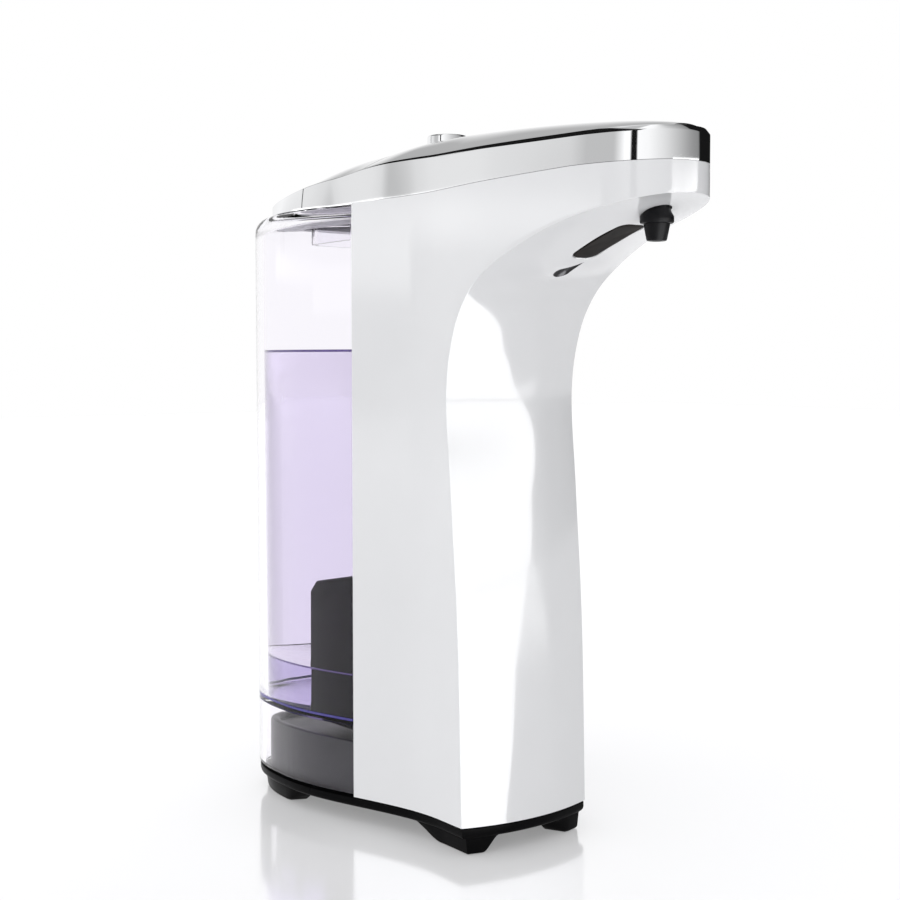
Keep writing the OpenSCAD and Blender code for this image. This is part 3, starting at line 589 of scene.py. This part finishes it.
def build_body():
    verts, faces = body_mesh()
    shell = new_piece("body_skin", verts, faces, WHITE, smooth_angle=38)
    modify(shell, "BEVEL", width=1.1 * MM, segments=4, limit_method="ANGLE",
           angle_limit=math.radians(38), use_clamp_overlap=True)
    modify(shell, "SOLIDIFY", thickness=WALL * MM, offset=-1, use_even_offset=True)
    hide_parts("body_shell")
    return shell


# ---- chrome top ---------------------------------------------------------------------
def build_trim():
    """Chrome band: a profile round the outline; its upper edge's bevel widens to the front."""
    wall, count = 1.8, 240
    # inset from the outline, edge that the height is measured from, height over it
    steps = [(0, "low", 0.1), (0, "bevel", -1.45), (0.02, "bevel", -1.3), (0.09, "bevel", -1.1),
             (0.6, "bevel", -0.2), (0.68, "bevel", -0.08), (0.8, "high", 0), (wall, "high", 0),
             (wall, "low", 1.5), (wall - 0.4, "low", 0.1)]
    rings = []
    for inset, edge, lift in steps:
        line = ring(lambda y: trim_half(y, inset), NOSE_Y + inset, TRIM_REAR_Y - inset, count)
        if edge == "low":
            rings.append([(x, y, trim_low(y) + lift) for x, y in line])
        elif edge == "high":
            rings.append([(x, y, trim_high(y) + lift) for x, y in line])
        else:
            rings.append([(x, y, trim_high(y) + lift * (0.35 + 0.65 * smooth((45 - y) / 105)))
                          for x, y in line])
    verts, faces = loft(rings, wrap=True)
    trim = new_piece("trim_band", verts, faces, CHROME, smooth_angle=24)
    cut(trim, "hinge_slot", *prism(rounded_rect(-9.3, 9.3, 72.4, 90, 0.5), 184.4, 200))
    smooth_edges(trim, 24)
    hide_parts("top_trim")


def crown_panel(name, y0, y1, body, node):
    """Crowned chrome panel with soft edges, between two stations along Y."""
    thick, soft = 1.6, 0.5
    rows, columns = 120, 60
    edge_in = [0, 0.08, 0.2, 0.4, 0.7, 1.0]
    ys = sorted([y0 + soft * e for e in edge_in] + [y1 - soft * e for e in edge_in]
                + list(np.linspace(y0 + soft, y1 - soft, rows)[1:-1]))
    upper, lower = [], []
    for y in ys:
        half = max(0.5, trim_half(y) - CROWN_GAP)
        xs = side_grid(half, soft, columns)
        top_row, low_row = [], []
        for x in xs:
            near = min(half - abs(x), y - y0, y1 - y, soft)
            drop = soft - math.sqrt(max(0.0, soft ** 2 - (soft - near) ** 2))
            top_row.append((x, y, crown_z(x, y) - drop))
            low_row.append((x, y, crown_z(x, y) - thick))
        upper.append(top_row)
        lower.append(low_row)
    rings = [up + low[::-1] for up, low in zip(upper, lower)]
    verts, faces = loft(rings, cap_first=False, cap_last=False)
    width = len(upper[0])
    for base in (0, (len(rings) - 1) * 2 * width):
        faces += [(base + k, base + k + 1, base + 2 * width - 2 - k, base + 2 * width - 1 - k)
                  for k in range(width - 1)]
    panel = new_piece(name, verts, faces, CHROME, body, smooth_angle=50)
    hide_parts(node)
    return panel


def side_grid(half, soft, columns):
    """Stations across a panel, closer together at its rounded edges."""
    near = min(soft, half * 0.5)
    edge = [near * e for e in (0, 0.08, 0.2, 0.4, 0.7, 1.0)]
    middle = list(np.linspace(-half + near, half - near, columns - 9))[1:-1]
    return [-half + e for e in edge] + middle + [half - e for e in edge[::-1]]


def build_ceiling():
    """Pale plate in the tank's roof, round the fill neck."""
    top = TANK_HIGH[2]
    rim = TANK_WALL + 4.2
    verts, faces = stack([(rim, top - TANK_ROOF), (rim, top)], TANK_LOW[1] + 2.3)
    plate = new_piece("tank_top_plate", verts, faces, CEILING, smooth_angle=30)
    cut(plate, "neck_opening", *prism(rounded_rect(-20.4, 20.4, 31.6, 72.4, 8), 170, 200))
    smooth_edges(plate, 30)


def build_crown():
    split = 25.2
    crown_panel("cover_crown", NOSE_Y + 2.4, split - 0.15, "root", "top_cover")
    crown_panel("lid_crown", split + 0.15, TRIM_REAR_Y - 5.2, "lid", "refill_lid")


def build_hinge():
    """Barrel and arm of the lid's hinge, and the two ears in the chrome band that carry the pin."""
    pin_low, pin_high = box_mm("lid_hinge_pin")
    middle = (pin_low + pin_high) / 2
    half, radius = 9.0, 2.1
    steps = [(-half, radius - 0.4), (-half + 0.4, radius), (half - 0.4, radius), (half, radius - 0.4)]
    rings = [[(x, middle[1] + r * math.cos(a), middle[2] + r * math.sin(a))
              for a in np.linspace(0, 2 * math.pi, 40, endpoint=False)] for x, r in steps]
    verts, faces = loft(rings, cap_first=True, cap_last=True)
    barrel = new_piece("lid_hinge_barrel", verts, faces, CHROME, "lid")
    arm = slab("lid_hinge_arm", rounded_rect(-half, half, middle[1] - 6, middle[1], 0.4),
               middle[2] - 0.6, middle[2] + 1.4, CHROME, "lid")
    for side in (-1, 1):
        near, far = sorted((side * (half + 0.3), side * pin_high[0]))
        hand = "left" if side < 0 else "right"
        ear = slab(f"hinge_ear_{hand}",
                   rounded_rect(near, far, middle[1] - 2.1, TRIM_REAR_Y - 1, 0.5),
                   TRIM_LOW_Z + 0.6, middle[2] + 1.2, CHROME)


def rounded_rect(x0, x1, y0, y1, r, n=6):
    """Closed plan outline of a rectangle with rounded corners."""
    line = []
    corners = ((x1 - r, y0 + r, -90), (x1 - r, y1 - r, 0), (x0 + r, y1 - r, 90), (x0 + r, y0 + r, 180))
    for cx, cy, start in corners:
        turns = [math.radians(start + 90 * k / n) for k in range(n + 1)]
        line += [(cx + r * math.cos(a), cy + r * math.sin(a)) for a in turns]
    return line


def slab(name, outline, z0, z1, material, body="root", edge=0.3):
    """Upright slab on a plan outline, its upper and lower edges chamfered a little."""
    verts, faces = prism(outline, z0, z1)
    piece = new_piece(name, verts, faces, material, body, smooth_angle=30)
    if edge:
        modify(piece, "BEVEL", width=edge * MM, segments=2, limit_method="ANGLE",
               angle_limit=math.radians(50), use_clamp_overlap=True)
    return piece


def prism(outline, z0, z1):
    rings = [[(x, y, z) for x, y in outline] for z in (z0, z1)]
    return loft(rings, cap_first=True, cap_last=True)


# ---- button ------------------------------------------------------------------------
def build_button():
    radius = BUTTON_HIGH[0] - 1
    top = BUTTON_HIGH[2]
    seat = crown_z(0, BUTTON_Y)
    profile = [(0, BUTTON_LOW[2]), (1.6, BUTTON_LOW[2]), (1.6, seat - 4.6), (radius + 1, seat - 4.6),
               (radius + 1, seat - 3.4), (3.2, seat - 3.4), (3.2, seat - 1.2), (radius - 0.2, seat - 1.2),
               (radius, seat - 1.0)]
    profile += [(r, z) for r, z in fillet(radius, top - 0.5, radius - 0.5, top, 5)]
    profile += [(radius - 1.0, top), (radius - 1.3, top - 0.3), (radius - 1.8, top - 0.45),
                (2.0, top - 0.6), (0, top - 0.65)]
    button = lathe("button_cap", profile, (0, BUTTON_Y), CHROME, "button", 96)
    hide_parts("control_button")


def build_spring():
    """Coil spring under the button, shorter than its sleeve by the button's travel."""
    low, high = box_mm("button_spring")
    turns, count, wire = 4.5, 160, 0.32
    start, end = low[2] + wire, high[2] - 1.1 - wire
    rings = []
    for i in range(count + 1):
        angle = 2 * math.pi * turns * i / count
        out = Vector((math.cos(angle), math.sin(angle), 0))
        middle = out * 3.8 + Vector((0, BUTTON_Y, start + (end - start) * i / count))
        rings.append([tuple(middle + out * wire * math.cos(t) + Vector((0, 0, wire * math.sin(t))))
                      for t in np.linspace(0, 2 * math.pi, 10, endpoint=False)])
    verts, faces = loft(rings, cap_first=True, cap_last=True)
    spring = new_piece("button_coil", verts, faces, STEEL, smooth_angle=60)
    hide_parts("button_spring")


# ---- tank and soap ----------------------------------------------------------------------
def outline_at(inset, y0, count=260):
    """Closed plan outline of the tank's round, moved in by inset, starting at y0."""
    return ring(lambda y: half_w(y, inset), y0, REAR_Y - inset, count)


def stack(levels, y0):
    """Closed solid from (inset, z) levels of the tank's outline."""
    rings = [[(x, y, z) for x, y in outline_at(inset, y0)] for inset, z in levels]
    return loft(rings, cap_first=True, cap_last=True)


def build_tank():
    front = TANK_LOW[1]
    room_front = front + TANK_FRONT_WALL
    top = TANK_HIGH[2]
    shoulder = fillet(0, SHOULDER_Z, 5, top, 9)
    levels = [(0.5, TANK_LOW[2]), (0.15, TANK_LOW[2] + 0.15), (0, TANK_LOW[2] + 0.5)] + shoulder
    verts, faces = stack(levels, front)
    tank = new_piece("tank_shell", verts, faces, CLEAR, smooth_angle=30)
    skirt = [(TANK_WALL, TANK_LOW[2] - 2), (TANK_WALL, TANK_FLOOR_Z - 1.4),
             (TANK_WALL + 0.6, TANK_FLOOR_Z - 0.9)]
    cut(tank, "skirt_room", *stack(skirt, front - 2))
    ceiling = top - TANK_ROOF
    room = [(TANK_WALL + 1.2, TANK_FLOOR_Z), (TANK_WALL + 0.35, TANK_FLOOR_Z + 0.35),
            (TANK_WALL, TANK_FLOOR_Z + 1.2)]
    room += [(TANK_WALL + d, z) for d, z in fillet(0, ceiling - 4, 4, ceiling, 7)]
    room += [(TANK_WALL + 4.1, top + 1)]
    cut(tank, "soap_room", *stack(room, room_front))
    tower_room = rounded_rect(-TOWER_HIGH[0] - 0.2, TOWER_HIGH[0] + 0.2, -8,
                              TOWER_HIGH[1] + TOWER_GROWTH + 0.2, 4)
    cut(tank, "tower_room", *prism(tower_room, 0, TOWER_HIGH[2] + 0.2))
    smooth_edges(tank, 30)
    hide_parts("tank")


def smooth_edges(piece, angle):
    """Smooth shading with sharp edges where the faces turn by more than the angle."""
    work = bmesh.new()
    work.from_mesh(piece.data)
    for edge in work.edges:
        edge.smooth = len(edge.link_faces) != 2 or edge.calc_face_angle(0) < math.radians(angle)
    for face in work.faces:
        face.smooth = True
    work.to_mesh(piece.data)
    work.free()


def soap_layer(name, z0, z1, material):
    """One layer of soap, a hair clear of the tank's walls."""
    inset = TANK_WALL + SOAP_GAP
    front = TANK_LOW[1] + TANK_FRONT_WALL + SOAP_GAP
    levels = [(inset + 0.7, z0), (inset + 0.2, z0 + 0.2), (inset, z0 + 0.7), (inset, z1 - 0.5),
              (inset + 0.05, z1), (inset + 0.8, z1 - 0.4), (inset + 2.2, z1 - 0.5)]
    verts, faces = stack(levels, front)
    layer = new_piece(name, verts, faces, material, smooth_angle=30)


def soap_line(name, z, thick, material):
    """Thin line round the tank's inside, where a surface of the soap meets the wall."""
    inset = TANK_WALL + SOAP_GAP
    front = TANK_LOW[1] + TANK_FRONT_WALL + SOAP_GAP
    section = [(inset, z - thick / 2), (inset, z + thick / 2),
               (inset + 0.3, z + thick / 3), (inset + 0.3, z - thick / 3)]
    rings = [[(x, y, level) for x, y in outline_at(d, front)] for d, level in section]
    verts, faces = loft(rings, wrap=True)
    line = new_piece(name, verts, faces, material)


def build_soap():
    soap_layer("soap_low", TANK_FLOOR_Z + 0.06, LAYER_Z - 0.05, SOAP_LOW)
    soap_layer("soap", LAYER_Z + 0.05, SOAP_Z, SOAP)
    soap_line("soap_surface_line", SOAP_Z, 0.7, SOAP_DEEP)
    soap_line("soap_layer_line", LAYER_Z, 0.45, SOAP_DEEP)
    soap_line("soap_floor_line", TANK_FLOOR_Z + 0.45, 0.7, SOAP_BLUE)


def build_plinth():
    """Dark plinth under the tank, with a rim round its dished top."""
    inset = TANK_WALL + 1.8
    z0, z1 = SEAT_LOW[2], SEAT_HIGH[2]
    front = SEAT_LOW[1] + 0.2
    levels = [(inset, z0), (inset, z1 - 1.0), (inset + 0.3, z1 - 0.3), (inset + 1.0, z1), (inset + 2.2, z1),
              (inset + 2.8, z1 - 0.4), (inset + 3.2, z1 - 1.6)]
    verts, faces = stack(levels, front)
    plinth = new_piece("tank_plinth", verts, faces, SMOKE, smooth_angle=40)
    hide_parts("tank_seat")


def build_tower():
    """Pump tower: rounded block whose top slopes down to the back, with a small boss on it."""
    half, y1 = TOWER_HIGH[0], TOWER_HIGH[1] + TOWER_GROWTH
    y0, z0, z1 = TOWER_LOW[1], TOWER_LOW[2], TOWER_HIGH[2] + TOWER_GROWTH
    side = [(y0, z0), (y1, z0), (y1, z1 - 5.5), (y1 - 3, z1 - 2), (y1 - 24, z1 + 1.8),
            (y0 + 6, z1 + 3.4), (y0 + 3.4, z1 + 4.8), (y0 + 1.6, z1 + 2), (y0, z1 + 1.6)]
    rings = [[(x, y, z) for y, z in side] for x in (-half, half)]
    verts, faces = loft(rings, cap_first=True, cap_last=True)
    tower = new_piece("pump_housing", verts, faces, PLUM, smooth_angle=30)
    modify(tower, "BEVEL", width=2.2 * MM, segments=5, limit_method="ANGLE", angle_limit=math.radians(30),
           use_clamp_overlap=True)
    smooth_edges(tower, 30)
    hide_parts("pump_tower")


# ---- base ---------------------------------------------------------------------------
def base_outline(inset, front_inset, count=240):
    """Closed outline of the base: the sides, the round back and the hollow front's arc."""
    reach = SCOOP[0][0] - front_inset
    low, high = NOSE_Y, 10.0
    for _ in range(40):
        y = (low + high) / 2
        if half_w(y, inset) ** 2 + (SCOOP_AXIS_Y - y) ** 2 > reach * reach:
            low = y
        else:
            high = y
    side = side_line(lambda v: half_w(v, inset), high, REAR_Y - inset, count)
    left = [(-x, y) for x, y in side]
    right = [(x, y) for x, y in side[::-1]][1:]
    edge = half_w(high, inset)
    steps = 60
    across = [(edge - 2 * edge * k / steps) for k in range(1, steps)]
    front = [(x, SCOOP_AXIS_Y - math.sqrt(reach * reach - x * x)) for x in across]
    return left + right + front


def foot_share(x, y):
    """1 under a foot, 0 between the feet, with a short curve up to the lip."""
    at_front = smooth((2.5 - y) / 11.0) ** 0.7 * smooth((abs(x) - 10.5) / 5.5)
    at_back = smooth((y - 46) / 8.0) ** 0.7 * smooth((abs(x) - 16) / 7.0)
    return max(at_front, at_back)


def build_base():
    top, lip = BODY_Z - 0.1, 5.0
    # inset at the sides, inset at the front, height, share of the feet in the height
    rows = [(0.9, 0.9, top, 0), (0.3, 0.3, top - 0.4, 0), (0.3, 0.3, lip + 1.3, 0),
            (0.5, 0.45, lip + 0.6, 0), (1.0, 0.8, lip + 0.1, 0), (1.9, 1.1, lip - 0.2, 0.1),
            (2.4, 1.3, 0.9, 1), (2.7, 1.5, 0.3, 1), (3.4, 2.1, 0.05, 1), (7.4, 8.0, 0.05, 1),
            (7.8, 8.6, 0.6, 1), (8.4, 9.4, lip - 0.2, 0.1), (8.4, 9.4, lip - 0.1, 0)]
    rings = []
    for inset, front_inset, z, share in rows:
        line = []
        for (x, y), (fx, fy) in zip(base_outline(inset, front_inset), base_outline(2.4, 1.3)):
            level = (lip - 0.1) + (z - lip + 0.1) * foot_share(fx, fy) if share else z
            line.append((x, y, level))
        rings.append(line)
    verts, faces = loft(rings, cap_first=True, cap_last=True)
    base = new_piece("base_and_feet", verts, faces, BLACK, smooth_angle=40)
    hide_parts("base_chassis")
    for side in (-1, 1):
        for where, y, x, r in (("front", -16.5, 18.2, 1.3), ("rear", 62, 30.5, 1.8)):
            hand = "left" if side < 0 else "right"
            pad = lathe(f"foot_pad_{where}_{hand}", [(r, 0), (r, 0.6)], (side * x, y), RUBBER, count=32)
            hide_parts("foot_pads")


# ---- nozzle, window and indicator -----------------------------------------------------
def scoop_level(x, y):
    """Height of the hollow front's overhang at a plan point."""
    curve = spline(SCOOP, 24)
    curve = curve[int(np.argmin(curve[:, 0])):]
    r = math.hypot(x, SCOOP_AXIS_Y - y)
    sag = bulge(r) * (1 - (x / max(half_w(y), 0.1)) ** 2)
    return float(np.interp(r, curve[:, 0], curve[:, 1])) - sag


def window_outline(grow):
    """Plan outline of the sensor window."""
    return rounded_rect(-4.2 - grow, 4.2 + grow, WINDOW_Y0 - grow, WINDOW_Y1 + grow, 2.6 + grow)


def build_nozzle():
    meet_z = 172
    collar_r = COLLAR_HIGH[0]
    collar = [(1.6, COLLAR_HIGH[2]), (3.2, COLLAR_HIGH[2]), (3.2, meet_z + 4), (3.6, meet_z + 3),
              (collar_r, meet_z + 1.8), (collar_r, meet_z + 0.5), (collar_r - 0.15, meet_z + 0.15),
              (collar_r - 0.5, meet_z), (1.6, meet_z)]
    piece = lathe("nozzle_base", collar, (0, NOZZLE_Y), NOZZLE_BLACK)
    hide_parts("nozzle_collar")
    end_z = TIP_LOW[2]
    tip = [(1.1, meet_z), (3.3, meet_z), (3.25, meet_z - 0.6), (2.6, end_z + 0.4),
           (2.45, end_z + 0.1), (2.2, end_z), (1.3, end_z), (1.1, end_z + 0.2)]
    piece = lathe("nozzle_spout", tip, (0, NOZZLE_Y), NOZZLE_BLACK)
    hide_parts("nozzle_tip")


def build_window():
    middle = (WINDOW_Y0 + WINDOW_Y1) / 2
    outline = window_outline(0)
    # share of the outline, height over the hollow front's surface
    rows = [(1.0, 1.6), (1.0, 0.35), (0.99, 0.12), (0.96, 0.05),
            (0.8, 0.05), (0.55, 0.05), (0.3, 0.05), (0.1, 0.05)]
    rings = []
    for scale, lift in rows:
        line = [(x * scale, middle + (y - middle) * scale) for x, y in outline]
        rings.append([(x, y, scoop_level(x, y) + lift) for x, y in line])
    verts, faces = loft(rings, cap_first=True, cap_last=True)
    window = new_piece("sensor_lens", verts, faces, WINDOW, smooth_angle=40)
    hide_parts("sensor_window")


def drop_outline(grow):
    """Plan outline of the indicator: a round head with a tail towards the nozzle."""
    head, tail, radius = Vector((-0.3, -37.1)), Vector((2.6, -42.6)), 2.5 + grow
    back = (head - tail).normalized()
    start = math.atan2(back.y, back.x)
    line = [(head.x + radius * math.cos(start + a), head.y + radius * math.sin(start + a))
            for a in np.linspace(-1.75, 1.75, 25)]
    tip = tail - back * grow
    left, right, end = np.array(line[-1]), np.array(line[0]), np.array(tip)
    rise = [left + (end - left) * t - (1 - t) * t * 0.5 * (left - right) * 0.4
            for t in (0.25, 0.5, 0.75)]
    fall = [right + (end - right) * t + (1 - t) * t * 0.5 * (left - right) * 0.4
            for t in (0.75, 0.5, 0.25)]
    return line + [tuple(p) for p in rise] + [tuple(tip)] + [tuple(p) for p in fall]


def build_indicator():
    """Polished dish of the indicator, set in the body's drop-shaped hollow."""
    outline = drop_outline(-0.03)
    middle = (-0.3, -37.4)
    # share of the outline, height over the hollow front's surface
    rows = [(1.0, 0.0), (0.9, 0.5), (0.72, 0.95), (0.45, 1.25), (0.15, 1.35), (0.15, 1.6), (1.0, 1.6)]
    rings = []
    for scale, depth in rows:
        line = [(middle[0] + (x - middle[0]) * scale, middle[1] + (y - middle[1]) * scale)
                for x, y in outline]
        rings.append([(x, y, scoop_level(x, y) + depth) for x, y in line])
    verts, faces = loft(rings, wrap=True)
    dish = new_piece("indicator_dish", verts, faces, DISH, smooth_angle=35)
    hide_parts("indicator_lens")


def open_body(shell):
    """Cuts the nozzle hole, the sensor window's opening and the indicator's hollow."""
    hole = [(3.8 * math.cos(a), NOZZLE_Y + 3.8 * math.sin(a))
            for a in np.linspace(0, 2 * math.pi, 40, endpoint=False)]
    cut(shell, "nozzle_hole", *prism(hole, 160, 184))
    cut(shell, "window_hole", *prism(window_outline(0.25), 155, 181))
    cut(shell, "indicator_hole", *prism(drop_outline(0), 150, 175))
    # the inner wall's few points that the bevel pushed through the nose go back behind its skin
    for point in shell.data.vertices:
        if point.co.y < (NOSE_Y - 0.05) * MM:
            point.co.y = (NOSE_Y + WALL) * MM
    smooth_edges(shell, 38)


# ---- picture settings -------------------------------------------------------------------
def set_picture():
    scene = bpy.context.scene
    scene.view_settings.view_transform = "Standard"
    scene.cycles.max_bounces = 16
    scene.cycles.transmission_bounces = 16


finish_cad_nodes()
set_camera()
build_world()
build_floor()
build_card()
open_body(build_body())
build_trim()
build_crown()
build_ceiling()
build_hinge()
build_button()
build_spring()
build_tank()
build_soap()
build_plinth()
build_tower()
build_base()
build_nozzle()
build_window()
build_indicator()
set_picture()
